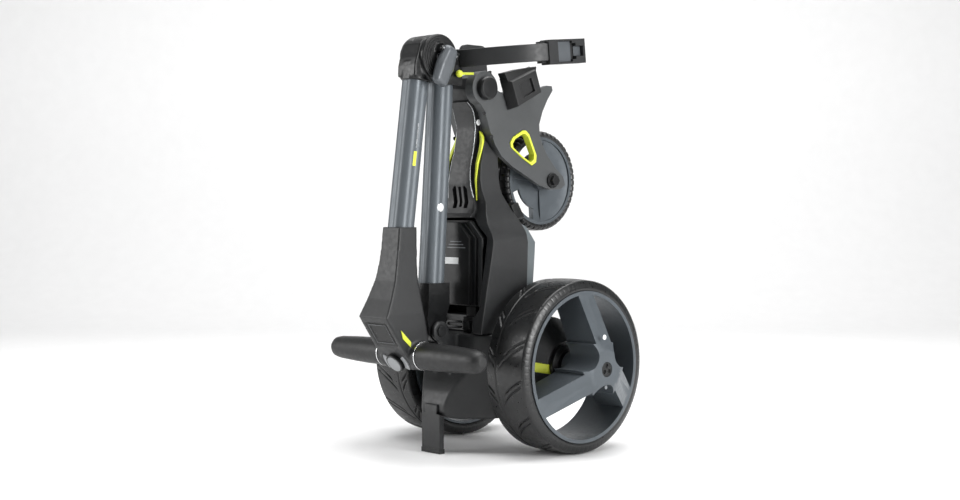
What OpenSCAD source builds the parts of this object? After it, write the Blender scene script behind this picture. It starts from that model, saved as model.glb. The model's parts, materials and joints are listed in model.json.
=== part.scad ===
// Electric golf trolley, folded, standing on its rear wheels and a stand foot.
// +X to the right wheel, +Y to the folded front wheel, +Z up, floor at z = 0.
// Shapes are drawn with the rear axle at y = 0 and moved by y_off, which centres the box.

/* [Rear wheels] */
// Rear tyre radius
wheel_r = 145; // [140:1:148]
// Distance of the tyre's centre plane from the trolley's centre plane
wheel_x = 143; // [143:1:146]
// Half width of the rear tyre
tyre_hw = 45; // [42:1:45]
// Radius where tyre and rim meet
rim_r = 124; // [122:1:125]
// How far the wheel hub stands out from the rim edge
hub_out = 47; // [40:1:50]
// Half width of a wheel spoke
spoke_hw = 18; // [14:1:20]

/* [Front wheel and fork] */
// Front tyre radius
front_r = 88; // [84:1:90]
// Half width of the front tyre
front_hw = 21.5; // [19:0.5:22]
// Height of the fork pivot
fork_z = 608; // [607:1:609]

/* [Battery] */
// Half width of the battery
batt_hw = 62; // [55:1:64]
// Height of the battery
batt_h = 145; // [120:1:148]

/* [Shafts and handle] */
// Width of the shaft tubes
tube_w = 38; // [36:1:39]
// Radius of the hinge barrel between the shafts
barrel_r = 38; // [36:1:40]
// Half length of the handle bar over both grips
handle_half = 186; // [170:1:195]
// Radius of the grips at their inner end
grip_r = 22; // [20:0.5:22]

/* [Bag support] */
// Radius of the arc of the upper bag support arms
cradle_r = 128; // [126:1:130]
// Height of an arm's band
band_h = 29; // [24:1:30]

/* [Hidden] */
$fn = 48;

axle_z = wheel_r;
lip_x = wheel_x + tyre_hw + 1;
hub_x = lip_x + hub_out;
fork_y = -93;
front_y = 67;
front_z = 456;
shaft_y = -170;
shaft_z = 204;
hinge_y = -179;
hinge_z = 655;
low_y = -174;
low_z = 282;
low_lean = 3.55;
up_y = -239;
up_z = 377;
up_lean = 7.46;
bar_y = -230;
bar_z = 169;
nose_y = -299;
motor_y = -76;
motor_z = 108;
gear_y = -30;
gear_z = 135;
arm_tilt = 6;
foot_hw = 22.5;
y_off = -(front_y + front_r + nose_y) / 2;
graphite = "#585d61";
charcoal = "#38393a";
coal = "#1d1e1f";
lime = "#d3de4a";

// ---- helpers ----
// an outline given by its right half, from top to bottom, and mirrored
function sym(p) = concat(p, [for (i = [len(p) - 1 : -1 : 0]) [-p[i][0], p[i][1]]]);
module place() translate([0, y_off, 0]) children();
module both() { children(); mirror([1, 0, 0]) children(); }
// a (y, z) outline extruded from x0 to x1
module slab_x(x0, x1) translate([x0, 0, 0]) rotate([90, 0, 90]) linear_extrude(x1 - x0) children();
// an (x, z) outline extruded from y0 to y1
module slab_y(y0, y1) translate([0, y1, 0]) rotate([90, 0, 0]) linear_extrude(y1 - y0) children();
module rod_x(x0, x1, r, y, z) translate([x0, y, z]) rotate([0, 90, 0]) cylinder(h = x1 - x0, r = r);
// an (r, x) outline turned about an X axis through (y, z)
module spin_x(y, z) translate([0, y, z]) rotate([0, 90, 0]) rotate_extrude($fn = 96) children();
module on_low() translate([0, low_y, low_z]) rotate([-low_lean, 0, 0]) children();
module on_up() translate([0, up_y, up_z]) rotate([-up_lean, 0, 0]) children();
module round_sq(w, r) {
    square([w, w - 2 * r], center = true);
    square([w - 2 * r, w], center = true);
    for (sx = [-1, 1], sy = [-1, 1]) translate([sx * (w / 2 - r), sy * (w / 2 - r)]) circle(r);
}
// tube section: a rounded square with a shallow flute beside each corner
module tube_section() {
    difference() {
        round_sq(tube_w, 14);
        for (a = [0 : 90 : 270], s = [-1, 1])
            rotate(a) translate([tube_w / 2 + 2.6, s * 4.6]) circle(3.6);
        round_sq(tube_w - 7, 11);
    }
}

// ---- rear wheels ----
module tyre_profile() {
    polygon([[rim_r, wheel_x - tyre_hw], [rim_r + 12, wheel_x - tyre_hw],
        [wheel_r - 5, wheel_x - tyre_hw + 8], [wheel_r - 2, wheel_x - 24],
        [wheel_r - 0.5, wheel_x - 12], [wheel_r, wheel_x], [wheel_r - 0.5, wheel_x + 12],
        [wheel_r - 2, wheel_x + 24], [wheel_r - 5, wheel_x + tyre_hw - 8],
        [rim_r + 12, wheel_x + tyre_hw], [rim_r, wheel_x + tyre_hw]]);
}
module tyre() place() spin_x(0, axle_z) tyre_profile();
module three_spokes() {
    c = spoke_hw + 26;
    difference() {
        union() {
            for (a = [90, 210, 330]) rotate(a) translate([0, -spoke_hw]) square([rim_r - 1, 2 * spoke_hw]);
            circle(r = c / cos(30) - 2, $fn = 6);
        }
        for (a = [30, 150, 270]) rotate(a) translate([c / sin(60), 0]) circle(26);
    }
}
module spoke_side() {
    polygon([[0, hub_x - 62], [24, hub_x - 62], [rim_r - 2, lip_x - 60], [rim_r - 2, lip_x - 1],
        [40, hub_x - 4], [30, hub_x], [0, hub_x]]);
}
module wheel() place() {
    difference() {
        union() {
            spin_x(0, axle_z) polygon([[rim_r - 4, wheel_x - tyre_hw - 0.5],
                [rim_r, wheel_x - tyre_hw - 0.5], [rim_r, wheel_x + tyre_hw],
                [rim_r + 2, wheel_x + tyre_hw], [rim_r + 2, lip_x], [rim_r - 4, lip_x]]);
            intersection() {
                slab_x(lip_x - 62, hub_x) translate([0, axle_z]) three_spokes();
                spin_x(0, axle_z) spoke_side();
            }
            rod_x(hub_x - 80, hub_x - 55, 24, 0, axle_z);
        }
        rod_x(hub_x - 81, hub_x - 20, 9.05, 0, axle_z);
        rod_x(hub_x - 20.5, hub_x + 1, 12.4, 0, axle_z);
    }
}
module hub_button() place() difference() {
    rod_x(hub_x - 12, hub_x - 0.5, 12, 0, axle_z);
    for (a = [90, 210, 330])
        slab_x(hub_x - 3, hub_x) translate([0, axle_z]) rotate(a) translate([6.5, 0]) circle(3.4);
}
module tyre_r() color(coal) tyre();
module tyre_l() color(coal) mirror([1, 0, 0]) tyre();
module wheel_right() color(graphite) wheel();
module wheel_left() color(graphite) mirror([1, 0, 0]) wheel();
module hub_button_r() color(coal) hub_button();
module hub_button_l() color(coal) mirror([1, 0, 0]) hub_button();

// ---- axle and drive ----
module axle() color("silver") place() rod_x(-(hub_x - 22), hub_x - 22, 9, 0, axle_z);
module pod_outline() polygon([[9.2, 95.4], [78, 95.4], [79, 103], [60, 121], [38, 138], [9.2, 138]]);
module pod() place() difference() {
    spin_x(0, axle_z) pod_outline();
    slab_x(118, 140) polygon([[-80, axle_z - 4], [-30, axle_z - 14], [-30, axle_z + 2],
        [-80, axle_z + 12]]);
}
module motor_pod_r() color(charcoal) pod();
module motor_pod_l() color(charcoal) mirror([1, 0, 0]) pod();
module pod_strips() color(lime) place() both() intersection() {
    spin_x(0, axle_z) pod_outline();
    slab_x(118, 137.5) polygon([[-79, axle_z - 3.8], [-30.2, axle_z - 13.8], [-30.2, axle_z + 1.8],
        [-79, axle_z + 11.8]]);
}
module clutch_discs() color(coal) place() both() spin_x(0, axle_z)
    polygon([[9.1, 138], [34, 138], [34, 146], [26, 148], [26, 150], [9.1, 150]]);

// ---- lower chassis ----
module housing_side() polygon([[-152, 58], [-166, 62], [-171, 70], [-170, 84], [-164, 102],
    [-155, 120], [-143, 137], [-138, 160], [-134, 199], [-12, 199], [32, 190], [50, 168], [54, 145],
    [50, 122], [38, 100], [8, 78], [-60, 62], [-120, 58]]);
module housing_plan() polygon([[-95, -94], [-86, -109], [-60, -137], [-28, -171], [28, -171],
    [60, -137], [86, -109], [95, -94], [95, 60], [-95, 60]]);
module axle_housing() color(charcoal) place() difference() {
    union() {
        intersection() {
            slab_x(-95, 95) housing_side();
            translate([0, 0, 40]) linear_extrude(170) housing_plan();
        }
        both() slab_x(13.6, 22) {
            translate([shaft_y, shaft_z]) circle(18);
            polygon([[shaft_y - 4, shaft_z - 17], [-146, 128], [-120, 150], [-120, 199], [-150, 199],
                [shaft_y, shaft_z + 18]]);
        }
    }
    rod_x(-96, 96, 9.05, 0, axle_z);
    rod_x(-74, 40, 36, motor_y, motor_z);
    rod_x(39, 45, 9, motor_y, motor_z);
    rod_x(44, 88, 47, gear_y, gear_z);
    rod_x(-23, 23, 6.05, shaft_y, shaft_z);
}
module motor() color("gray") place() {
    rod_x(-72, 38, 34, motor_y, motor_z);
    rod_x(38, 43.8, 8, motor_y, motor_z);
}
module gearbox() color("dimgray") place() difference() {
    rod_x(44.2, 87, 46, gear_y, gear_z);
    rod_x(43, 88, 9.2, 0, axle_z);
}
module stand_foot() color(charcoal) place() {
    slab_x(-foot_hw, foot_hw) polygon([[-175, 4], [-165.5, 4], [-165.5, 61.5], [-168, 61.5], [-175.5, 66]]);
    slab_x(-14, 14) polygon([[-175.4, 64], [-171.3, 72], [-171.3, 82], [-174, 80], [-175.5, 66]]);
}
module foot_shoe() color(coal) place() difference() {
    translate([-foot_hw - 0.8, -175.8, 0]) cube([2 * foot_hw + 1.6, 11.2, 8]);
    translate([-foot_hw, -175.2, 4]) cube([2 * foot_hw, 9.8, 6]);
}

// ---- chassis body ----
module body_side() polygon([[-134, 199.5], [-133, 216], [-124, 273], [-119, 301], [-114, 332],
    [-111, 354], [-113, 380], [-106, 398], [-99, 417], [-104, 455], [-101, 481], [-93, 504],
    [-86, 518], [-82, 535], [-86, 546], [-92, 568], [-108, 585], [-117, 608], [-109, 626], [-93, 632],
    [-77, 626], [-69, 608], [-72, 588], [-64, 562], [-60, 520], [-60, 456], [-56, 432], [-46, 412],
    [-36, 390], [-30, 370], [-30, 199.5]]);
module body_front() polygon(sym([[22, 640], [24, 560], [26, 538], [36, 516], [42, 495], [44, 470],
    [46, 440], [52, 420], [62, 397], [72, 382], [82, 364], [85, 350], [84, 320], [82, 260], [80, 199]]));
module bay_outline() polygon(sym([[36, 391], [68, 360], [68, 240], [60, 228]]));
module chassis_body() color(charcoal) place() difference() {
    intersection() {
        slab_x(-86, 86) body_side();
        slab_y(-150, 0) body_front();
    }
    slab_y(-150, -58) bay_outline();
    slab_y(-150, -103.9) translate([-56, 199]) square([112, 30]);
    slab_y(-50, -29) polygon([[-74, 362], [-66, 376], [66, 376], [74, 362], [74, 206], [-74, 206]]);
    both() slab_x(25.5, 60) {
        polygon([[-107, 650], [-107, 586], [-98, 567], [-86, 536], [-74, 511], [-58, 491], [-33, 474],
            [10, 457], [10, 650]]);
        translate([fork_y, fork_z]) circle(31);
    }
    rod_x(-30, 30, 8.05, fork_y, fork_z);
}
module nose_panel() color("#3e4041") place() difference() {
    intersection() {
        slab_x(-40, 40) polygon([[-113, 586], [-102, 571], [-96, 546], [-96, 535], [-101, 504],
            [-108, 478], [-111, 449], [-106, 418], [-112, 399], [-119, 393], [-113.4, 381],
            [-106, 398], [-99, 417], [-104, 455], [-101, 481], [-93, 504], [-86, 518], [-82, 535],
            [-86, 546], [-92, 568], [-108, 585]]);
        slab_y(-150, -80) polygon(sym([[18, 590], [24, 572], [22, 540], [23, 500], [24, 470],
            [27, 445], [31, 425], [38, 405], [36, 392]]));
    }
    both() slab_y(-150, -80) polygon([[9, 444], [12, 446], [18, 440], [18, 408], [9, 408]]);
    slab_y(-150, -80) translate([-3, 410]) square([6, 34]);
}
module lime_strips() color(lime) place() both() intersection() {
    slab_x(20, 60) polygon([[-88, 540], [-90, 520], [-96, 504], [-104.5, 482], [-107, 455],
        [-101.5, 417], [-99, 417], [-104, 455], [-101, 481], [-93, 504], [-86, 518], [-82, 535]]);
    slab_y(-150, -70) polygon([[25, 538], [33.5, 527], [38, 505], [38.5, 480], [37, 452], [33.5, 421],
        [32.5, 421], [34, 452], [34, 480], [31.5, 505]]);
}
module rear_cover() color("#54585b") place() difference() {
    intersection() {
        slab_x(-80, 80) polygon([[-29.7, 386], [-18, 376], [-6, 350], [-4, 332], [-10, 280],
            [-14, 240], [-14, 200], [-29.7, 200]]);
        slab_y(-40, 0) polygon(sym([[56, 388], [70, 376], [79, 350], [76, 332], [78, 270], [76, 200]]));
    }
    slab_y(-31, -22) polygon([[-64, 350], [-58, 362], [58, 362], [64, 350], [64, 214], [-64, 214]]);
}
module controller() color("dimgray") place() translate([-55, -49.5, 215]) cube([110, 26, 130]);
module stop_pads() color(coal) place() both() slab_x(40, 60)
    polygon([[-45.6, 412], [-30, 418], [-14, 392], [-33, 389], [-35.8, 390.5]]);

// ---- battery ----
module battery_body(g) polygon([[-30 + g, 384], [30 - g, 384], [58 - g, 358], [58 - g, 246],
    [-58 + g, 246], [-58 + g, 358]]);
module battery() color("#121314") place() difference() {
    union() {
        slab_y(-112, -58.5) polygon([[-34, 246 + batt_h - 4], [34, 246 + batt_h - 4], [batt_hw, 358],
            [batt_hw, 246], [-batt_hw, 246], [-batt_hw, 358]]);
        slab_y(-122, -112) battery_body(6);
        slab_y(-127, -122) battery_body(16);
    }
    both() slab_x(50, batt_hw + 1) translate([-106, 290]) { circle(9); translate([0, 46])
        circle(9); translate([-9, 0]) square([18, 46]); }
}
module battery_bezel() color("#303233") place() difference() {
    slab_y(-117, -112.1) polygon([[-34, 386], [34, 386], [63, 358], [63, 244], [-63, 244], [-63, 358]]);
    slab_y(-130, -112) battery_body(5.8);
    both() slab_x(50, 70) translate([-106, 290]) { circle(9); translate([0, 46])
        circle(9); translate([-9, 0]) square([18, 46]); }
}
module battery_plug() color(coal) place() {
    translate([22, -122, 200]) cube([30, 18, 26]);
    translate([26, -118, 226]) cube([22, 10, 17.9]);
    translate([28, -129, 206]) cube([16, 7, 14]);
}
module battery_lead() color(coal) place() slab_y(-128, -123.4) difference() {
    union() {
        translate([-8, 213]) circle(6.4);
        translate([-8, 206.6]) square([29.9, 12.8]);
    }
    translate([-8, 213]) circle(2.4);
    translate([-8, 210.6]) square([40, 4.8]);
}

// ---- front fork ----
module fork_outline() {
    difference() {
        union() {
            polygon([[-116, 625], [-120, 602], [-94, 569], [-82, 537], [-70, 514], [-55, 495],
                [-31, 479], [6, 462], [34, 448], [62, 440], [90, 441], [101, 449], [96, 463],
                [76, 479], [56, 500], [44, 518], [37, 535], [36, 553], [44, 575], [56, 596], [69, 613],
                [67, 621], [54, 621], [-30, 594], [-64, 606]]);
            translate([fork_y, fork_z]) circle(29);
        }
        ring_hole();
        translate([front_y, front_z]) circle(7.05);
        translate([fork_y, fork_z]) circle(8.1);
    }
}
module ring_scaled(k) translate([-4.5, 510]) scale(k) translate([4.5, -510]) ring_hole();
module ring_hole() {
    polygon([[2, 541], [10, 535], [28, 499], [27, 487], [17, 481], [-8, 494], [-34, 511], [-36, 519],
        [-29, 529], [-6, 541]]);
}
module fork_arm() place() {
    slab_x(36, 46) fork_outline();
    slab_x(27, 36) difference() {
        union() {
            translate([fork_y, fork_z]) circle(29);
            polygon([[-120, 602], [-94, 569], [-82, 537], [-70, 514], [-55, 495], [-46, 508],
                [-64, 540], [-70, 575], [-68, 600]]);
        }
        translate([fork_y, fork_z]) circle(8.1);
    }
}
module fork_arm_r() color("#4c4e4f") fork_arm();
module fork_arm_l() color("#4c4e4f") mirror([1, 0, 0]) fork_arm();
module fork_bridge() color(charcoal) place() difference() {
    slab_x(-35.9, 35.9) polygon([[-42, 560], [-50, 582], [-40, 596], [40, 616], [52, 608], [44, 590],
        [20, 578], [-20, 562]]);
    slab_x(-30, 30) polygon([[-30, 572], [-34, 584], [-30, 590], [36, 608], [40, 604], [16, 588]]);
}
module fork_pin() color(coal) place() {
    rod_x(-49, 49, 8, fork_y, fork_z);
    both() spin_x(fork_y, fork_z) polygon([[0, 46.1], [19.5, 46.1], [19.5, 55], [17, 58], [0, 58.5]]);
}
module fork_rings() color(lime) place() both() difference() {
    slab_x(34, 47.5) ring_scaled(0.993);
    slab_x(33, 48) ring_scaled(0.8);
}
module bag_clips() color(coal) place() both() difference() {
    hull() {
        slab_x(46.1, 50) polygon([[-62, 626], [8, 651], [24, 606], [-42, 574]]);
        slab_x(66, 70) polygon([[-54, 619], [3, 643], [17, 606], [-38, 579]]);
    }
    slab_x(64, 71) translate([-17, 612]) rotate(24.5) square([30, 24], center = true);
}
module front_axle() color("#2a2b2c") place() {
    rod_x(-50, 50, 7, front_y, front_z);
    both() {
        rod_x(46.1, 50, 13, front_y, front_z);
        slab_x(50, 57) translate([front_y, front_z]) circle(r = 9.5, $fn = 6);
        spin_x(front_y, front_z) polygon([[7.1, 22.2], [12, 22.2], [12, 35.8], [7.1, 35.8]]);
    }
}
module front_tyre() color(coal) place() spin_x(front_y, front_z)
    polygon([[77, -front_hw + 2], [81, -front_hw], [front_r - 4, -front_hw + 3],
        [front_r - 1, -front_hw + 10], [front_r, 0], [front_r - 1, front_hw - 10],
        [front_r - 4, front_hw - 3], [81, front_hw], [77, front_hw - 2]]);
module front_rim() color(graphite) place() difference() {
    union() {
        spin_x(front_y, front_z) polygon([[72, -19.5], [77, -19.5], [77, 19.5], [72, 19.5]]);
        difference() {
            spin_x(front_y, front_z) polygon([[16, 9], [46, 8], [60, 9], [72.5, 12], [72.5, 16.5], [60, 13.5],
                [46, 12.5], [16, 14]]);
            slab_x(0, 20) translate([front_y, front_z]) for (a = [-133, 125]) rotate(a) intersection() {
                difference() {
                    circle(70);
                    circle(51);
                }
                polygon([[0, 0], [90, 50], [90, -50]]);
            }
        }
        for (a = [-86, 80, 174]) translate([0, front_y, front_z]) rotate([a, 0, 0])
            translate([-12, 10, -3]) cube([28, 63, 6]);
        rod_x(-21.5, 21.5, 17, front_y, front_z);
    }
    rod_x(-25, 25, 7.05, front_y, front_z);
}

// ---- lower shaft ----
module base_bracket() color(coal) place() difference() {
    intersection() {
        slab_x(-22, 22) union() {
            polygon([[-197, 284], [-152, 284], [-152, 200], [shaft_y, 190], [-187, 200], [-198, 246]]);
            translate([shaft_y, shaft_z]) circle(19);
        }
        slab_y(-210, -140) polygon(sym([[22, 290], [22, 246], [13.3, 226], [13.3, 180]]));
    }
    on_low() translate([0, 0, -30.3]) linear_extrude(60) round_sq(tube_w + 0.2, 14);
    rod_x(-23, 23, 6.05, shaft_y, shaft_z);
}
module base_pin() color("silver") place() {
    rod_x(-22.2, 22.2, 6, shaft_y, shaft_z);
    both() rod_x(22.1, 25, 9, shaft_y, shaft_z);
}
module lower_tube() color(graphite) place() on_low() translate([0, 0, -30]) linear_extrude(364)
    tube_section();
module lower_knuckle() color(coal) place() difference() {
    union() {
        on_low() translate([0, 0, 334.1]) linear_extrude(28) round_sq(tube_w + 6, 16);
        on_low() translate([0, 0, 300]) linear_extrude(40) round_sq(tube_w - 7.2, 11);
        rod_x(-9.6, 9.6, barrel_r, hinge_y, hinge_z);
    }
    rod_x(-11, 11, 7.05, hinge_y, hinge_z);
    both() rod_x(9.9, 40, barrel_r + 5.3, hinge_y, hinge_z);
}
module hinge_pin() color("silver") place() {
    rod_x(-31, 29.9, 7, hinge_y, hinge_z);
    rod_x(-33, -31, 13, hinge_y, hinge_z);
    lever_place() cylinder(h = 37, r = 2.5, center = true);
}
module bag_hub() color(coal) place() difference() {
    union() {
        translate([-27, -162, 612]) cube([54, 34, 33]);
        both() translate([22.4, -139, 640]) cube([4.7, 11, 31]);
    }
    on_low() translate([0, 0, 300]) linear_extrude(100) round_sq(tube_w + 6.2, 16);
    rod_x(-60, 60, barrel_r + 1.2, hinge_y, hinge_z);
    rod_x(-22.3, 22.3, barrel_r + 8.5, hinge_y, hinge_z);
}
module arm_frame() translate([0, -140, 655]) rotate([arm_tilt, 0, 0]) translate([0, 140, -655]) children();
module bag_arm() place() arm_frame() intersection() {
    translate([0, -8, 655 - band_h / 2]) rotate_extrude($fn = 96) translate([cradle_r - 4, 0])
        square([8, band_h]);
    translate([27.2, -150, 600]) cube([120, 122, 100]);
}
module bag_arm_r() color(charcoal) bag_arm();
module bag_arm_l() color(charcoal) mirror([1, 0, 0]) bag_arm();
module bag_end_r() color(charcoal) bag_block();
module bag_end_l() color(charcoal) {
    mirror([1, 0, 0]) bag_block();
    place() slab_x(-cradle_r - 3.5, -cradle_r + 6) hull() {
        translate([22, 690]) circle(14);
        translate([56, 690]) circle(14);
        translate([2, 662]) square([66, 10]);
    }
}
module bag_block() place() arm_frame() difference() {
    union() {
        translate([cradle_r - 16, -38, 637]) cube([12, 22, 36]);
        translate([cradle_r - 16, -27.9, 634]) cube([20, 88, 41]);
    }
    difference() {
        translate([0, -8, 654.8 - band_h / 2]) cylinder(h = band_h + 0.4, r = cradle_r + 4.2, $fn = 96);
        translate([0, -8, 630]) cylinder(h = 50, r = cradle_r - 4.05, $fn = 96);
        translate([0, -27.8, 600]) cube([200, 100, 100]);
    }
    translate([cradle_r - 2, -6, 637]) cube([10, 34, 35]);
    translate([cradle_r - 4, 27.9, 641]) cube([10, 9, 27]);
    translate([cradle_r - 4, 36.8, 646]) cube([10, 18, 17]);
}
module elastic_ball() color(lime) place() {
    translate([34, -141, 630]) sphere(r = 6, $fn = 32);
    translate([34, -141, 630]) rotate([0, 90, 45]) cylinder(h = 24, r = 2.2);
}

// ---- upper shaft and handle ----
module socket_up() on_up() translate([0, 0, 240.1]) linear_extrude(30) round_sq(tube_w + 6, 16);
module upper_knuckle() color(coal) place() difference() {
    union() {
        socket_up();
        on_up() translate([0, 0, 206]) linear_extrude(40) round_sq(tube_w - 7.2, 11);
        both() {
            rod_x(10, 30, barrel_r, hinge_y, hinge_z);
            rod_x(29, 31.5, 15, -170, 663);
            slab_x(10, 22) polygon([[-227, 640], [-224, 652], [-221, 660], [-215.5, 676],
                [-208, 683.5], [-199, 687.5], [hinge_y, hinge_z], [-196, 640]]);
        }
        slab_x(-22, 22) polygon([[-228, 622], [-227, 640], [-223, 655], [-217, 640], [-214, 622]]);
        for (s = [16, -19.2]) lever_place() translate([-12, -7, s]) cube([16, 14, 3.2]);
    }
    rod_x(-29.9, 31.6, 7.05, hinge_y, hinge_z);
    rod_x(-31.6, -29.8, 7.05, hinge_y, hinge_z);
    rod_x(-9.9, 9.9, barrel_r + 0.6, hinge_y, hinge_z);
    rod_x(-40, -31, 14, hinge_y, hinge_z);
    lever_place() cylinder(h = 40, r = 2.55, center = true);
}
// frame of the cam lever: local z along its pin, local -y down the lever
module lever_place() translate([42, -170, 663]) rotate([66.2, 0, 0]) children();
module upper_tube() color(graphite) place() on_up() translate([0, 0, -60]) linear_extrude(300)
    tube_section();
module console_side() polygon([[-223, 377], [-260, 377], [-264, 338], [-267, 319], [-273, 291],
    [-285, 261], [nose_y, 232], [-241, 146], [-226, 145], [-210, 152], [-206, 172], [-210, 194],
    [-219, 240], [-224, 290], [-223, 340]]);
module console() color(charcoal) place() difference() {
    union() {
        intersection() {
            slab_x(-48, 48) console_side();
            slab_y(-310, -190) polygon(sym([[22, 377], [22.5, 330], [25, 300], [31, 262], [35, 238],
                [36, 215], [36, 140]]));
        }
        both() rod_x(35, 46, 23, bar_y, bar_z);
    }
    on_up() translate([0, 0, -70]) linear_extrude(150) round_sq(tube_w + 0.2, 14);
    rod_x(-50, 50, 11.05, bar_y, bar_z);
    slab_x(-26, 26) polygon([[-294, 222.2], [-290.2, 224.2], [-264.2, 185.2], [-268, 183.2]]);
    dial_place() {
        translate([0, 0, -6]) cylinder(h = 20, r = 8);
        both() translate([0, 0, -2.5]) linear_extrude(12) key_shape(0.3);
    }
}
// frame of the sloping control face: origin at the dial centre, local z out of the face
module dial_place() translate([0, -248.5, 157.4]) rotate([124, 0, 0]) children();
module key_shape(g) intersection() {
    difference() { circle(28.5 + g); circle(18.6 - g); }
    polygon([[0, 0], [60, -34 - g], [60, 34 + g]]);
}
module display_glass() color("#26282a") place() slab_x(-25.8, 25.8)
    polygon([[-291.8, 223.2], [-290.4, 224], [-264.8, 185.6], [-266.3, 184.8]]);
module console_flashes() color(lime) place() both() slab_x(36.05, 37.6)
    polygon([[-270, 212], [-249, 192], [-250, 184], [-266, 198]]);
module handle_bar() color("silver") place() rod_x(-150, 150, 11, bar_y, bar_z);
module grip() place() spin_x(bar_y, bar_z)
    polygon([[11.1, 48], [grip_r, 48], [grip_r, 90], [grip_r - 1, 125], [grip_r - 3, 165],
        [grip_r - 5, 177], [grip_r - 9, 183], [grip_r - 14, handle_half], [0, handle_half], [0, 151],
        [11.1, 151]]);
module grip_right() color(coal) grip();
module grip_left() color(coal) mirror([1, 0, 0]) grip();
module grip_rings() color("silver") place() both() spin_x(bar_y, bar_z)
    polygon([[11.2, 46.1], [23.5, 46.1], [23.5, 48], [11.2, 48]]);
module cam_lever() color("#6d7073") place() lever_place() difference() {
    hull() {
        for (z = [-5, 5]) translate([0, 0, z]) sphere(r = 9.5, $fn = 24);
        for (z = [-8, 8]) translate([0, -26, z]) sphere(r = 9.5, $fn = 24);
        for (z = [-7, 7]) translate([0, -52, z]) sphere(r = 8, $fn = 24);
    }
    cylinder(h = 40, r = 2.55, center = true);
}
module dial_ring() color(coal) place() dial_place() difference() {
    union() {
        translate([0, 0, 0.4]) cylinder(h = 6, r = 17);
        translate([0, 0, -5]) cylinder(h = 5.5, r = 7.9);
    }
    translate([0, 0, 2.4]) cylinder(h = 6, r = 14.3);
}
module dial_cap() color("silver") place() dial_place() translate([0, 0, 4]) cylinder(h = 3.2, r = 14);
module key_r() color("gray") place() dial_place() translate([0, 0, -1.2]) linear_extrude(2.6) key_shape(0);
module key_l() color("gray") place() mirror([1, 0, 0]) dial_place() translate([0, 0,
    -1.2]) linear_extrude(2.6) key_shape(0);

tyre_r();
tyre_l();
wheel_right();
wheel_left();
hub_button_r();
hub_button_l();
axle();
motor_pod_r();
motor_pod_l();
pod_strips();
clutch_discs();
axle_housing();
motor();
gearbox();
stand_foot();
foot_shoe();
chassis_body();
nose_panel();
lime_strips();
rear_cover();
controller();
stop_pads();
battery();
battery_bezel();
battery_plug();
battery_lead();
fork_arm_r();
fork_arm_l();
fork_bridge();
fork_pin();
fork_rings();
bag_clips();
front_axle();
front_tyre();
front_rim();
base_bracket();
base_pin();
lower_tube();
lower_knuckle();
hinge_pin();
bag_hub();
bag_arm_r();
bag_arm_l();
bag_end_r();
bag_end_l();
elastic_ball();
upper_knuckle();
upper_tube();
console();
display_glass();
console_flashes();
handle_bar();
grip_right();
grip_left();
grip_rings();
cam_lever();
dial_ring();
dial_cap();
key_r();
key_l();
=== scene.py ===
import json
import math

import bmesh
import bpy
import numpy as np
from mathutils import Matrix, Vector


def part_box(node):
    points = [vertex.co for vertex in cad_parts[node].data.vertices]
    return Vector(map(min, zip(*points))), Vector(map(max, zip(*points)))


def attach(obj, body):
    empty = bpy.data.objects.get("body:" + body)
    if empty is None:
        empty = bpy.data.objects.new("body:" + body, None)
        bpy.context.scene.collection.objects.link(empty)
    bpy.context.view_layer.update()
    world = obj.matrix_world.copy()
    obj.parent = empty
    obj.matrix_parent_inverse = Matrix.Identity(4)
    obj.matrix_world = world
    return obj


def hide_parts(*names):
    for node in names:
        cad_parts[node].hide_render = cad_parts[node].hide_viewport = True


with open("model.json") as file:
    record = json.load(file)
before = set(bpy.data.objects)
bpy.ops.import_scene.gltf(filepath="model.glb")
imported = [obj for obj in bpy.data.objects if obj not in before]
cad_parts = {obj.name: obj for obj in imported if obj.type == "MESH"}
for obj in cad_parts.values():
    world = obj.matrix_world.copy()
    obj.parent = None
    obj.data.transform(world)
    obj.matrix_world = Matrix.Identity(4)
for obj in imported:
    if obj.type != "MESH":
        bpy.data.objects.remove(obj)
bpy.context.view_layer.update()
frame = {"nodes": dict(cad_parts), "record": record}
NODES = frame["nodes"]

MM = 0.001
# The part's source draws with the rear axle at y = 0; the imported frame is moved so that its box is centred.
AXLE = (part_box("axle")[0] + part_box("axle")[1]) / 2
Y_OFF = AXLE.y / MM
AXLE_Z = AXLE.z / MM
HINGE = (-179, 655)
FRONT = (67, 456)
DIAL = (-248.5, 157.4)
# Angles are in degrees and lengths in millimetres.
FACE_SLOPE = 124
KEY_HALF_ANGLE = 30.5
KEY_INNER, KEY_OUTER = 18.0, 29.1
POCKET_FLOOR, POCKET_TOP = -2.9, 12
ELBOW_HALF = 21.8
HUB_CLEARANCE = 38.6
SHARP_CORNER = 30
DISC_SIDES = 28


def at(x, y, z):
    """A point given in millimetres from the rear axle's centre plane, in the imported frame."""
    return Vector((x * MM, (y + Y_OFF) * MM, z * MM))


# ---------------------------------------------------------------- materials
def node_material(name):
    m = bpy.data.materials.new(name)
    m.use_nodes = True
    t = m.node_tree
    t.nodes.clear()
    out = t.nodes.new("ShaderNodeOutputMaterial")
    b = t.nodes.new("ShaderNodeBsdfPrincipled")
    t.links.new(b.outputs[0], out.inputs[0])
    coord = t.nodes.new("ShaderNodeTexCoord")
    return m, t, b, coord


def noise(t, coord, scale, detail=3, stretch=None):
    n = t.nodes.new("ShaderNodeTexNoise")
    n.inputs["Scale"].default_value = scale
    n.inputs["Detail"].default_value = detail
    if stretch:
        mp = t.nodes.new("ShaderNodeMapping")
        mp.inputs["Scale"].default_value = stretch
        t.links.new(coord.outputs["Object"], mp.inputs[0])
        t.links.new(mp.outputs[0], n.inputs[0])
    else:
        t.links.new(coord.outputs["Object"], n.inputs[0])
    return n


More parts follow.
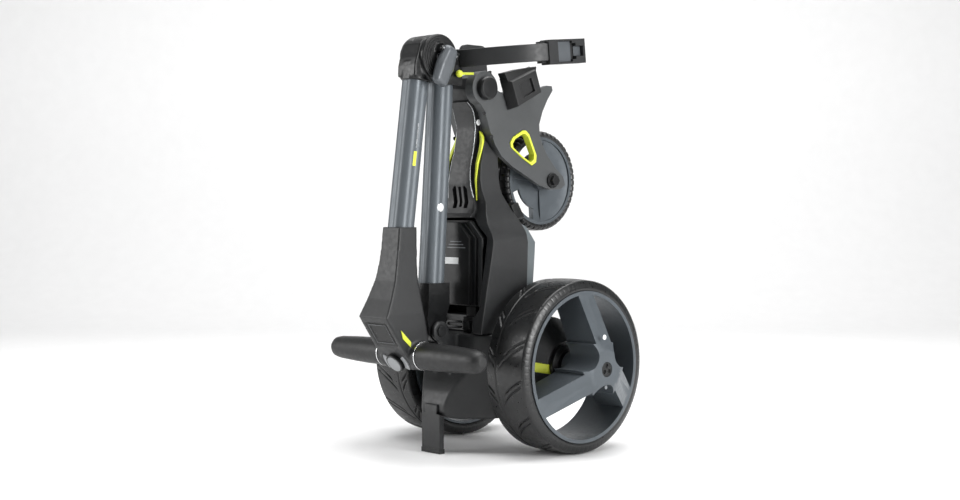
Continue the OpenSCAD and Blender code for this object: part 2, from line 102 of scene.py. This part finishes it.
def spread(t, source, low, high):
    r = t.nodes.new("ShaderNodeMapRange")
    r.inputs["From Min"].default_value = 0.3
    r.inputs["From Max"].default_value = 0.7
    r.inputs["To Min"].default_value = low
    r.inputs["To Max"].default_value = high
    t.links.new(source.outputs[0], r.inputs[0])
    return r


def surface(name, colour, rough, metal=0.0, vary=0.12, grain=1400, relief=0.02, specular=0.5,
            rough_vary=0.06, stretch=None, dust=0.0):
    """A moulded or painted surface: mottled colour, uneven gloss and a fine grain."""
    m, t, b, coord = node_material(name)
    big = noise(t, coord, 22, 4, stretch)
    ramp = t.nodes.new("ShaderNodeValToRGB")
    ramp.color_ramp.elements[0].position = 0.3
    ramp.color_ramp.elements[1].position = 0.72
    ramp.color_ramp.elements[0].color = tuple(c * (1 - vary) for c in colour) + (1,)
    ramp.color_ramp.elements[1].color = tuple(min(1, c * (1 + vary) + dust) for c in colour) + (1,)
    t.links.new(big.outputs[0], ramp.inputs[0])
    t.links.new(ramp.outputs[0], b.inputs["Base Color"])
    mid = noise(t, coord, 160, 2, stretch)
    r = spread(t, mid, rough - rough_vary, rough + rough_vary)
    t.links.new(r.outputs[0], b.inputs["Roughness"])
    fine = noise(t, coord, grain, 2, stretch)
    bump = t.nodes.new("ShaderNodeBump")
    bump.inputs["Strength"].default_value = 0.5
    bump.inputs["Distance"].default_value = relief * MM
    t.links.new(fine.outputs[0], bump.inputs["Height"])
    t.links.new(bump.outputs[0], b.inputs["Normal"])
    b.inputs["Metallic"].default_value = metal
    b.inputs["Specular IOR Level"].default_value = specular
    return m


def rgb(code):
    """Hex display colour to linear."""
    v = [int(code[i:i + 2], 16) / 255 for i in (0, 2, 4)]
    return tuple(c / 12.92 if c < 0.04045 else ((c + 0.055) / 1.055) ** 2.4 for c in v)


MAT = {
    "graphite_metal": surface("graphite_metal", rgb("5b6166"), 0.42, metal=0.25, grain=2600, relief=0.008,
                              vary=0.05, stretch=(1, 1, 0.15)),
    "graphite_wheel": surface("graphite_wheel", rgb("50565b"), 0.4, metal=0.3, grain=2200, relief=0.008,
                              vary=0.05),
    "charcoal": surface("charcoal", rgb("232425"), 0.44, grain=1800, relief=0.018, specular=0.42),
    "fork_grey": surface("fork_grey", rgb("454748"), 0.45, metal=0.1, grain=2000, relief=0.02, vary=0.07),
    "coal": surface("coal", rgb("131415"), 0.34, grain=1600, relief=0.015, specular=0.4),
    "battery_black": surface("battery_black", rgb("0b0c0d"), 0.36, specular=0.3, relief=0.004,
                             rough_vary=0.04),
    "lime": surface("lime", rgb("d6e045"), 0.38, vary=0.04, relief=0.012),
    "tyre_rubber": surface("tyre_rubber", rgb("0e0f10"), 0.34, grain=900, relief=0.025, dust=0.002,
                           rough_vary=0.08),
    "grip_rubber": surface("grip_rubber", rgb("0c0d0e"), 0.5, grain=1500, relief=0.015, rough_vary=0.05),
    "steel": surface("steel", rgb("c8cacc"), 0.3, metal=1.0, vary=0.05, relief=0.01, stretch=(0.2, 1, 1)),
    "chrome_trim": surface("chrome_trim", rgb("dddedf"), 0.16, metal=1.0, vary=0.03, relief=0.003,
                           rough_vary=0.03),
    "lever_grey": surface("lever_grey", rgb("54585c"), 0.38, metal=0.2, vary=0.05, relief=0.01),
    "cover_grey": surface("cover_grey", rgb("5d6467"), 0.4, vary=0.06, relief=0.02),
    "key_grey": surface("key_grey", rgb("8d8f91"), 0.42, vary=0.04, relief=0.012),
    "screen": surface("screen", rgb("08090a"), 0.3, specular=0.25, relief=0.002, vary=0.05, rough_vary=0.03),
    "motor_metal": surface("motor_metal", rgb("8b8d90"), 0.4, metal=0.8, vary=0.08),
    "battery_cells": surface("battery_cells", rgb("2a2b2c"), 0.5),
}
PRINT = surface("print_white", rgb("e4e6e6"), 0.4, vary=0.03, relief=0.004)
TRIM = surface("trim_silver", rgb("b4b7b9"), 0.28, metal=0.7, vary=0.04, relief=0.006)
STRIPE = surface("print_grey", rgb("6f7376"), 0.4, vary=0.05, relief=0.006)
DIAL_SILVER = surface("dial_silver", rgb("8e9092"), 0.36, metal=0.6, vary=0.16, relief=0.02)
DARK_PIN = surface("dark_pin", rgb("2b2c2d"), 0.38, metal=0.5, relief=0.01)
SLOT_OF = {p["node"]: p["material_slot"] for p in frame["record"]["subparts"]}
BODY_OF = {n: body for body, members in frame["record"]["behaviour"]["bodies"].items() for n in members}


# ---------------------------------------------------------------- mesh tools
def finish_mesh(name, bm_or_mesh, material, body, replaces=(), sharp=35, weighted=True):
    """Makes an object of a mesh, smooth but for its sharp edges, riding on its body."""
    if isinstance(bm_or_mesh, bmesh.types.BMesh):
        me = bpy.data.meshes.new(name)
        bmesh.ops.recalc_face_normals(bm_or_mesh, faces=bm_or_mesh.faces)
        bm_or_mesh.to_mesh(me)
        bm_or_mesh.free()
    else:
        me = bm_or_mesh
    me.polygons.foreach_set("use_smooth", [True] * len(me.polygons))
    me.set_sharp_from_angle(angle=math.radians(sharp))
    mats = material if isinstance(material, (list, tuple)) else [material]
    for m in mats:
        me.materials.append(m)
    o = bpy.data.objects.new(name, me)
    bpy.context.scene.collection.objects.link(o)
    if weighted:
        w = o.modifiers.new("normals", "WEIGHTED_NORMAL")
        w.keep_sharp = True
    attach(o, body)
    if replaces:
        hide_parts(*replaces)
    return o


def cad_copy(node):
    """A clean bmesh of a CAD node, with its flat triangles joined into polygons."""
    bm = bmesh.new()
    bm.from_mesh(NODES[node].data)
    bmesh.ops.remove_doubles(bm, verts=bm.verts, dist=2e-5)
    bmesh.ops.dissolve_limit(bm, angle_limit=math.radians(0.8), verts=bm.verts, edges=bm.edges)
    return bm


def soften(bm, width):
    """Rounds a bmesh's sharp edges."""
    edges = [e for e in bm.edges
             if len(e.link_faces) == 2 and e.calc_face_angle(0) > math.radians(SHARP_CORNER)]
    bmesh.ops.bevel(bm, geom=edges, offset=width * MM, offset_type="OFFSET", segments=2, profile=0.5,
                    affect="EDGES", clamp_overlap=True)
    return bm


def rounded(node, width, material=None):
    """The CAD node again with rounded edges, in its own material."""
    bm = soften(cad_copy(node), width)
    slot = SLOT_OF[node]
    return finish_mesh(node + "_piece", bm, material or MAT[slot], BODY_OF[node], [node])


def add_block(bm, base, lean, half, low, high):
    """Adds a closed square bar along a shaft to bm."""
    corners = ((half, -half), (half, half), (-half, half), (-half, -half))
    join_rings(bm, *([shaft_point(base, lean, x, t, z) for x, t in corners] for z in (low, high)))


def join_rings(bm, low, high):
    """Adds a closed body to bm between two rings of points, given in the same order."""
    low = [bm.verts.new(p) for p in low]
    high = [bm.verts.new(p) for p in high]
    new = [bm.faces.new(low[::-1]), bm.faces.new(high)]
    for i in range(len(low)):
        j = (i + 1) % len(low)
        new.append(bm.faces.new((low[i], low[j], high[j], high[i])))
    bmesh.ops.recalc_face_normals(bm, faces=new)


def add_prism(bm, outline, x0, x1):
    """Adds a closed prism to bm: an outline of (y, z) points between two x values."""
    join_rings(bm, [at(x0, y, z) for y, z in outline], [at(x1, y, z) for y, z in outline])


def dial_point(x, up, out):
    """A point on the sloping control face: across it, up it and out of it from the dial's centre."""
    slope = math.radians(FACE_SLOPE)
    return at(x, DIAL[0] + up * math.cos(slope) - out * math.sin(slope),
              DIAL[1] + up * math.sin(slope) + out * math.cos(slope))


def key_pockets(obj):
    """Sinks the two half-round pockets that the keys sit and press in."""
    bm = bmesh.new()
    for side in (1, -1):
        angles = np.linspace(math.radians(-KEY_HALF_ANGLE), math.radians(KEY_HALF_ANGLE), 16)
        outline = [(side * KEY_OUTER * math.cos(a), KEY_OUTER * math.sin(a)) for a in angles]
        outline += [(side * KEY_INNER * math.cos(a), KEY_INNER * math.sin(a)) for a in angles[::-1]]
        join_rings(bm, *([dial_point(x, y, out) for x, y in outline] for out in (POCKET_FLOOR, POCKET_TOP)))
    me = bpy.data.meshes.new("pocket_draft")
    bm.to_mesh(me)
    bm.free()
    cutter = bpy.data.objects.new("pocket_draft", me)
    bpy.context.scene.collection.objects.link(cutter)
    cut = obj.modifiers.new("cut", "BOOLEAN")
    cut.operation = "DIFFERENCE"
    cut.solver = "EXACT"
    cut.object = cutter
    done = bpy.data.meshes.new_from_object(obj.evaluated_get(bpy.context.evaluated_depsgraph_get()))
    bpy.data.objects.remove(cutter)
    return done


def trim_elbow(me):
    """Keeps the elbow's shoulders clear of the bag hub that they swing past."""
    for v in me.vertices:
        x, y, z = v.co.x / MM, v.co.y / MM - Y_OFF, v.co.z / MM
        if abs(x) > ELBOW_HALF and z > 640 and math.hypot(y - HINGE[0], z - HINGE[1]) > HUB_CLEARANCE:
            v.co.x = math.copysign(ELBOW_HALF * MM, x)


def melted(node, voxel, rounds, blocks=(), prisms=()):
    """The CAD node as one soft moulding: remeshed finely, then smoothed so that every edge is round."""
    bm = cad_copy(node)
    for block in blocks:
        add_block(bm, *block)
    for prism in prisms:
        add_prism(bm, *prism)
    me = bpy.data.meshes.new("draft")
    bm.to_mesh(me)
    bm.free()
    o = bpy.data.objects.new("draft", me)
    bpy.context.scene.collection.objects.link(o)
    r = o.modifiers.new("remesh", "REMESH")
    r.mode = "VOXEL"
    r.voxel_size = voxel * MM
    sm = o.modifiers.new("smooth", "SMOOTH")
    sm.factor = 0.5
    sm.iterations = rounds
    if node == "console":
        done = key_pockets(o)
    else:
        done = bpy.data.meshes.new_from_object(o.evaluated_get(bpy.context.evaluated_depsgraph_get()))
    if node == "upper_knuckle":
        trim_elbow(done)
    bpy.data.objects.remove(o)
    slot = SLOT_OF[node]
    done.materials.clear()
    done.name = node + "_piece"
    return finish_mesh(done.name, done, MAT[slot], BODY_OF[node], [node], sharp=75, weighted=False)


def slab(name, outline, x0, x1, material, body, bevel=0.6):
    """A flat plate: an outline of (y, z) points between two x values, with rounded edges."""
    bm = bmesh.new()
    add_prism(bm, outline, x0, x1)
    if bevel:
        soften(bm, bevel)
    return finish_mesh(name, bm, material, body)


def tube(name, points, radius, material, body, sides=10, smooth=True):
    """A round rod that follows points."""
    pts = [Vector(p) for p in points]
    if smooth:
        fine = []
        for i in range(len(pts) - 1):
            p0, p1, p2, p3 = pts[max(i - 1, 0)], pts[i], pts[i + 1], pts[min(i + 2, len(pts) - 1)]
            for k in range(6):
                t = k / 6
                fine.append(0.5 * ((2 * p1) + (p2 - p0) * t + (2 * p0 - 5 * p1 + 4 * p2 - p3) * t * t
                                   + (3 * p1 - p0 - 3 * p2 + p3) * t ** 3))
        pts = fine + [pts[-1]]
    bm = bmesh.new()
    rings = []
    side = Vector((1, 0, 0))
    for i, p in enumerate(pts):
        along = (pts[min(i + 1, len(pts) - 1)] - pts[max(i - 1, 0)]).normalized()
        side = (side - along * side.dot(along))
        side = side.normalized() if side.length > 1e-6 else along.orthogonal().normalized()
        up = along.cross(side)
        rings.append([bm.verts.new(p + radius * MM * (side * math.cos(a) + up * math.sin(a)))
                      for a in (2 * math.pi * k / sides for k in range(sides))])
    for p, q in zip(rings, rings[1:]):
        for k in range(sides):
            j = (k + 1) % sides
            bm.faces.new((p[k], p[j], q[j], q[k]))
    bm.faces.new(rings[0][::-1])
    bm.faces.new(rings[-1])
    return finish_mesh(name, bm, material, body, sharp=50)


def button(name, centre, normal, radius, height, material, body, dome=0.4):
    """A low round disc with a domed edge, such as a screw head or a plain badge."""
    n = Vector(normal).normalized()
    side = n.orthogonal().normalized()
    up = n.cross(side)
    c = Vector(centre)
    bm = bmesh.new()
    profile = [(radius, 0.0), (radius, height * (1 - dome)), (radius * 0.93, height * (1 - dome * 0.3)),
               (radius * 0.8, height), (radius * 0.4, height)]
    rings = [[bm.verts.new(c + (r * (side * math.cos(a) + up * math.sin(a)) + n * h) * MM)
              for a in (2 * math.pi * k / DISC_SIDES for k in range(DISC_SIDES))] for r, h in profile]
    for p, q in zip(rings, rings[1:]):
        for k in range(DISC_SIDES):
            j = (k + 1) % DISC_SIDES
            bm.faces.new((p[k], p[j], q[j], q[k]))
    bm.faces.new(rings[-1])
    bm.faces.new(rings[0][::-1])
    return finish_mesh(name, bm, material, body)


def shaft_point(base, lean, x, across, along):
    """A point on a shaft: across it towards -Y, and along it from base = (y, z)."""
    a = math.radians(lean)
    return at(x, base[0] - across * math.cos(a) + along * math.sin(a),
              base[1] + across * math.sin(a) + along * math.cos(a))


LOW = ((-174, 282), 3.55)
UP = ((-239, 377), 7.46)
ELBOW_FILL = [(-226.5, 638), (-224, 652), (-221, 660), (-215.5, 676), (-208, 683.5), (-204, 679), (-210, 670),
              (-214, 655), (-213, 640)]


# ---------------------------------------------------------------- pieces
def fluted_tube(node, base, lean, low, high, width=38.0, corner=13.0, channel=6.0, depth=0.55):
    """Shaft tube: a rounded square with one broad, soft channel down each face."""
    half = width / 2
    outline = []
    for quarter in range(4):
        turn = quarter * math.pi / 2
        local = [(half, t) for t in np.linspace(-(half - corner), half - corner, 15)]
        local = [(x - depth * (0.5 + 0.5 * math.cos(math.pi * min(1, abs(t) / channel))), t)
                 for x, t in local]
        local += [(half - corner + corner * math.cos(a), half - corner + corner * math.sin(a))
                  for a in np.linspace(0, math.pi / 2, 12)[1:-1]]
        outline += [(x * math.cos(turn) - t * math.sin(turn), x * math.sin(turn) + t * math.cos(turn))
                    for x, t in local]
    bm = bmesh.new()
    rings = []
    for z in (low, low + 2, high - 2, high):
        rings.append([bm.verts.new(shaft_point(base, lean, x, t, z)) for x, t in outline])
    n = len(outline)
    for p, q in zip(rings, rings[1:]):
        for i in range(n):
            bm.faces.new((p[i], p[(i + 1) % n], q[(i + 1) % n], q[i]))
    bm.faces.new(rings[0][::-1])
    bm.faces.new(rings[-1])
    return finish_mesh(node + "_piece", bm, MAT["graphite_metal"], BODY_OF[node], [node],
                       sharp=45)


def hinge_details():
    """Raised arcs on the elbow's cheek, around the hinge."""
    coal = MAT["coal"]
    for k, r in enumerate((22.0, 27.0, 31.5, 35.0)):
        pts = [at(30.2, HINGE[0] + r * math.cos(a), HINGE[1] + r * math.sin(a))
               for a in np.linspace(math.radians(95), math.radians(262), 26)]
        tube("hinge_rib_%d" % k, pts, 0.9, coal, "upper_shaft", smooth=False)


def spine_edge_highlight():
    """Painted highlight: a thin bright silver rod along both sides of the nose panel, standing in for the
    light caught on the panel's edges.
    """
    half_width = [(586, 19.5), (571, 24), (546, 22.4), (535, 22.2), (504, 23), (478, 24), (449, 26.8),
                  (425, 31)]
    front = {586: -112, 571: -102, 546: -96, 535: -96, 504: -101, 478: -108, 449: -111, 425: -107.6}
    for side, tag in ((1, "r"), (-1, "l")):
        # Painted highlight: silver rods set just outside the panel's edges, in place of the light along them.
        pts = [at(side * (w + 0.3), front[z] + 1.0, z) for z, w in half_width]
        tube("spine_edge_highlight_" + tag, pts, 0.8, TRIM, "chassis")


def badges():
    """Plain discs and a plate where the object carries marks."""
    button("spine_badge", at(25.6, -90, 552), (1, 0, 0), 5.0, 0.5, PRINT, "chassis")
    button("shaft_badge", shaft_point(*LOW, 18.6, 3.5, 127), (1, 0, 0), 7.0, 0.4, PRINT,
           "lower_shaft")
    label = [(-128.2, 314), (-126.8, 314), (-126.8, 325), (-128.2, 325)]
    slab("battery_label", label, -16, 16, PRINT, "chassis", bevel=0.15)


def small_details():
    """Screws, plain marks and inset plates, each from its own mesh."""
    coal, dark = MAT["coal"], MAT["battery_black"]
    for side, tag in ((1, "r"), (-1, "l")):
        button("spoke_disc_" + tag, at(side * 235.6, -6, 198), (side, 0, 0), 4.2, 0.5, PRINT,
               "wheel_" + tag)
        button("hub_mark_" + tag, at(side * 235.4, -2, 116), (side, 0, 0), 3.2, 0.4, STRIPE,
               "wheel_" + tag)
        button("fork_screw_a_" + tag, at(side * 45.8, -96, 566), (side, 0, 0), 3.4, 1.2, coal, "fork")
        button("fork_screw_b_" + tag, at(side * 45.8, -79, 528), (side, 0, 0), 3.4, 1.2, coal, "fork")
        button("body_screw_" + tag, at(side * 79, -109, 190), (side * 0.4, -1, 0), 3.6, 1.0, MAT["steel"],
               "chassis")
    base, lean = UP
    for name, across, low, high, half, material in (("tube_mark_bar", 1.0, 100, 124, 3.2, MAT["lime"]),
                                                    ("tube_mark_line", 0.0, 130, 170, 1.0, TRIM)):
        bm = bmesh.new()
        corners = ((-half, low), (half, low), (half, high), (-half, high))
        join_rings(bm, *([shaft_point(base, lean, x, across + t, z) for t, z in corners]
                         for x in (18.2, 18.95)))
        finish_mesh(name, bm, material, "upper_shaft")
    for k, z in enumerate((341, 346, 351)):
        line = [(-128.1, z), (-126.8, z), (-126.8, z + 1.4), (-128.1, z + 1.4)]
        slab("battery_line_%d" % k, line, -11 + 4 * k, 33 - 5 * k, STRIPE, "chassis", bevel=0)
    bezel = [(-30, 379), (30, 379), (54, 355), (54, 252), (-54, 252), (-54, 355)]
    pts = [at(x, -116.9, z) for x, z in bezel + bezel[:1]]
    tube("bezel_seam", pts, 0.7, dark, "chassis", smooth=False)
    rim = [(-21.5, 219.5, -290.6), (21.5, 219.5, -290.6), (21.5, 189.5, -270.6), (-21.5, 189.5, -270.6)]
    pts = [at(x, y - 0.1, z) for x, z, y in rim + rim[:1]]
    tube("display_line", pts, 0.35, STRIPE, "upper_shaft", smooth=False)


def arm_inserts():
    """The lighter plate set into the outer face of each bag arm's end block."""
    tilt, pivot = math.radians(6), (-140, 655)
    recesses = ((-5.6, 27.4, 637.6, 671.4, 126.1), (37.2, 54.2, 646.6, 662.4, 124.1))
    for side, tag in ((1, "r"), (-1, "l")):
        for k, (y0, y1, z0, z1, x) in enumerate(recesses):
            outline = []
            for y, z in ((y0, z0), (y1, z0), (y1, z1), (y0, z1)):
                dy, dz = y - pivot[0], z - pivot[1]
                outline.append((pivot[0] + dy * math.cos(tilt) - dz * math.sin(tilt),
                                pivot[1] + dy * math.sin(tilt) + dz * math.cos(tilt)))
            bm = bmesh.new()
            add_prism(bm, outline, side * x, side * (x + 1.6))
            soften(bm, 0.5)
            finish_mesh("arm_insert_%s_%d" % (tag, k), bm, MAT["lever_grey"], "lower_shaft")


def bag_clip_straps():
    """The rubber strap over each bag clip."""
    for side, tag in ((1, "r"), (-1, "l")):
        x0, x1 = sorted((side * 46.5, side * 64))
        outline = [(-66, 634), (-30, 643), (10, 650), (9, 640), (-57, 620)]
        slab("clip_strap_" + tag, outline, x0, x1, MAT["grip_rubber"], "fork", bevel=0.8)


def tread_mesh(name, turn, radii, xs, inside, centre, side):
    """A closed tyre mesh: radii at each turn and x, then the (radius, x) points of its inner side."""
    around = radii.shape[0]
    radii = np.concatenate([radii] + [np.full((around, 1), r) for r, _ in inside], axis=1)
    total = radii.shape[1]
    co = np.empty((around, total, 3))
    co[..., 0] = side * np.concatenate([xs, [x for _, x in inside]])[None, :]
    co[..., 1] = centre[0] + Y_OFF - radii * np.cos(turn[:, :1])
    co[..., 2] = centre[1] + radii * np.sin(turn[:, :1])
    co *= MM
    i = np.arange(around)[:, None]
    j = np.arange(total)[None, :]
    after, beside = (i + 1) % around, (j + 1) % total
    quads = np.stack([i * total + j, after * total + j, after * total + beside, i * total + beside], -1)
    quads = quads.reshape(-1, 4)
    if side < 0:
        quads = quads[:, ::-1]
    me = bpy.data.meshes.new(name)
    me.from_pydata(co.reshape(-1, 3).tolist(), [], quads.tolist())
    return me


def tyre_tread(side):
    """Rear tyre: rounded tread with a circumferential groove, swept slashes and shoulder notches."""
    around, across = 900, 100
    centre_x, half, radius = 143.0, 45.0, 145.0
    s = np.linspace(-1, 1, across)
    x = centre_x + s * half
    crown = radius - 2.2 * np.abs(s) ** 2.2
    shoulder = np.clip((np.abs(s) - 0.86) / 0.14, 0, 1)
    crown = crown - 11.0 * shoulder ** 2.4
    theta = np.linspace(0, 2 * np.pi, around, endpoint=False)
    T, S = np.meshgrid(theta, s, indexing="ij")
    depth = np.zeros_like(T)

    def band(distance, half_width):
        return np.clip(1.4 - np.abs(distance) / half_width, 0, 1)

    ridge = -0.42
    depth += 1.3 * band((S - ridge) * half, 1.3)
    pitch = 2 * np.pi / 14
    slashes = ((ridge + 0.16, 0.86, 0.30, 0.0, 0.62), (ridge + 0.32, 0.92, 0.24, 0.13, 0.62),
               (ridge - 0.08, -0.88, 0.16, 0.04, 0.8), (ridge - 0.14, -0.92, 0.12, 0.16, 0.8))
    for start, end, sweep, shift, power in slashes:
        u = np.clip((S - start) / (end - start), 0, 1)
        inside = (np.abs(S - (start + end) / 2) < abs(end - start) / 2).astype(float)
        line = shift + sweep * u ** power
        d = (T - line + pitch / 2) % pitch - pitch / 2
        slope = np.sqrt(1 + (sweep * radius / (abs(end - start) * half)) ** 2)
        taper = np.clip(np.minimum(u, 1 - u) * 7, 0, 1)
        depth = np.maximum(depth, 2.6 * inside * taper * band(d * radius / slope, 1.35))
    notch_pitch = 2 * np.pi / 84
    d = (T + notch_pitch / 2) % notch_pitch - notch_pitch / 2
    depth = np.maximum(depth, 0.6 * (S > 0.93) * band(d * radius, 1.2))
    depth = np.maximum(depth, 0.6 * (S < -0.93) * band(d * radius, 1.2))
    sidewall = [(126.0, centre_x + half), (124.2, centre_x + half - 3), (124.2, centre_x - half + 3),
                (126.0, centre_x - half)]
    tag = "r" if side > 0 else "l"
    name, node = "tyre_tread_" + tag, "tyre_" + tag
    me = tread_mesh(name, T, crown[None, :] - depth, x, sidewall, (0, AXLE_Z), side)
    return finish_mesh(name, me, MAT["tyre_rubber"], BODY_OF[node], [node], sharp=60,
                       weighted=False)


def front_tread():
    """Front tyre: two grooves and a row of shoulder blocks on each side."""
    around, across = 720, 40
    half, radius = 21.5, 88.0
    s = np.linspace(-1, 1, across)
    crown = radius - 1.0 * np.abs(s) ** 2 - 5.0 * np.clip((np.abs(s) - 0.72) / 0.28, 0, 1) ** 2
    theta = np.linspace(0, 2 * np.pi, around, endpoint=False)
    T, S = np.meshgrid(theta, s, indexing="ij")
    pitch = 2 * np.pi / 48
    d = (T + 0.3 * np.abs(S) * pitch + pitch / 2) % pitch - pitch / 2
    block = np.clip(1.5 - np.abs(d * radius) / 1.5, 0, 1)
    depth = 1.6 * block * np.clip((np.abs(S) - 0.35) * 6, 0, 1)
    depth = np.maximum(depth, 0.9 * np.clip(1.5 - np.abs(np.abs(S) - 0.3) * half / 0.8, 0, 1))
    inner = [(77.2, half - 2), (77.2, -half + 2)]
    me = tread_mesh("front_tread", T, crown[None, :] - depth, s * half, inner, FRONT, 1)
    return finish_mesh("front_tread", me, MAT["tyre_rubber"], "front_wheel", ["front_tyre"],
                       sharp=60, weighted=False)


# Width of the rounded edge on each piece that is redrawn from its node.
EDGE = {
    "wheel_right": 1.6, "wheel_left": 1.6, "hub_button_r": 0.5, "hub_button_l": 0.5,
    "motor_pod_r": 1.2, "motor_pod_l": 1.2, "pod_strips": 0.4, "clutch_discs": 1.0,
    "stand_foot": 1.6, "foot_shoe": 1.2, "chassis_body": 2.2, "nose_panel": 0.8,
    "lime_strips": 0.5, "rear_cover": 3.0, "stop_pads": 1.2, "battery": 1.6, "battery_bezel": 1.0,
    "battery_plug": 1.0, "battery_lead": 0.8, "fork_arm_r": 1.2, "fork_arm_l": 1.2, "fork_bridge": 1.5,
    "fork_pin": 0.8, "fork_rings": 0.8, "bag_clips": 1.4, "front_axle": 0.7, "front_rim": 1.0,
    "base_bracket": 1.5, "base_pin": 0.6, "lower_knuckle": 2.0, "hinge_pin": 0.6, "bag_hub": 1.5,
    "bag_arm_r": 1.4, "bag_arm_l": 1.4, "bag_end_r": 1.2, "bag_end_l": 1.2,
    "display_glass": 0.2, "console_flashes": 0.3,
    "grip_right": 0.6, "grip_left": 0.6, "grip_rings": 0.3,
    "dial_ring": 0.6, "dial_cap": 0.5, "key_r": 0.5, "key_l": 0.5,
}


def studio():
    """The camera, the curved white backdrop and the lights."""
    scene = bpy.context.scene
    cam = bpy.data.cameras.new("camera")
    cam.lens = 53.775
    cam.sensor_width = 36
    cam.clip_start = 0.05
    view = bpy.data.objects.new("camera", cam)
    view.location = (1.79334, -1.67106, 0.40619)
    view.rotation_euler = Vector((-0.72935, 0.68354, -0.02855)).to_track_quat("-Z", "Y").to_euler()
    scene.collection.objects.link(view)
    scene.camera = view

    bm = bmesh.new()
    half, back, top, bend = 4.0, 3.2, 3.5, 0.9
    profile = [(-half, 0.0), (back - bend, 0.0)]
    for k in range(1, 13):
        a = math.pi / 2 * k / 12
        profile.append((back - bend + bend * math.sin(a), bend - bend * math.cos(a)))
    profile.append((back, top))
    away = Vector((-0.72935, 0.68354, 0)).normalized()
    across = Vector((away.y, -away.x, 0))
    rows = []
    for d, z in profile:
        rows.append([bm.verts.new(away * d + across * w + Vector((0, 0, z))) for w in (-half, half)])
    for p, q in zip(rows, rows[1:]):
        bm.faces.new((p[0], p[1], q[1], q[0]))
    me = bpy.data.meshes.new("floor")
    bm.to_mesh(me)
    bm.free()
    me.polygons.foreach_set("use_smooth", [True] * len(me.polygons))
    white = surface("studio_white", (0.93, 0.93, 0.93), 0.7, vary=0.01, relief=0.002, specular=0.2)
    me.materials.append(white)
    floor = bpy.data.objects.new("floor", me)
    scene.collection.objects.link(floor)

    world = bpy.data.worlds.new("studio")
    scene.world = world
    world.use_nodes = True
    world.node_tree.nodes["Background"].inputs[0].default_value = (1, 1, 1, 1)
    world.node_tree.nodes["Background"].inputs[1].default_value = 0.3

    def softbox(name, place, aim, size, power):
        light = bpy.data.lights.new(name, "AREA")
        light.shape = "RECTANGLE"
        light.size, light.size_y = size
        light.energy = power
        o = bpy.data.objects.new(name, light)
        o.location = place
        o.rotation_euler = (Vector(aim) - Vector(place)).to_track_quat("-Z", "Y").to_euler()
        scene.collection.objects.link(o)

    softbox("left", (-1.9, -2.2, 1.0), (0, 0, 0.35), (1.0, 1.6), 38)
    softbox("right", (2.7, 0.6, 0.9), (0, 0, 0.35), (1.0, 1.5), 62)
    softbox("top", (0.2, 0.3, 2.7), (0, 0, 0.3), (2.6, 2.6), 95)
    scene.view_settings.view_transform = "Standard"


def dress_nodes():
    """Gives every CAD node the material of its slot, for those that still show."""
    for node, o in NODES.items():
        o.data.materials.clear()
        o.data.materials.append(MAT[SLOT_OF[node]])


dress_nodes()
OWN_FINISH = {"dial_cap": DIAL_SILVER, "base_pin": DARK_PIN}
for name, width in EDGE.items():
    rounded(name, width, material=OWN_FINISH.get(name))
tyre_tread(1)
tyre_tread(-1)
front_tread()
melted("axle_housing", 2.2, 14)
melted("upper_knuckle", 1.2, 20, prisms=[(ELBOW_FILL, -11, 11)])
melted("cam_lever", 0.9, 16)
melted("console", 1.4, 10, blocks=[(*UP, 17.5, -69, -4), (*UP, 14, -170, -71)])
fluted_tube("lower_tube", *LOW, -30, 334)
fluted_tube("upper_tube", *UP, -9, 240)
hinge_details()
# Painted highlight: bright silver rods along the nose panel's edges.
spine_edge_highlight()
badges()
small_details()
bag_clip_straps()
arm_inserts()
studio()
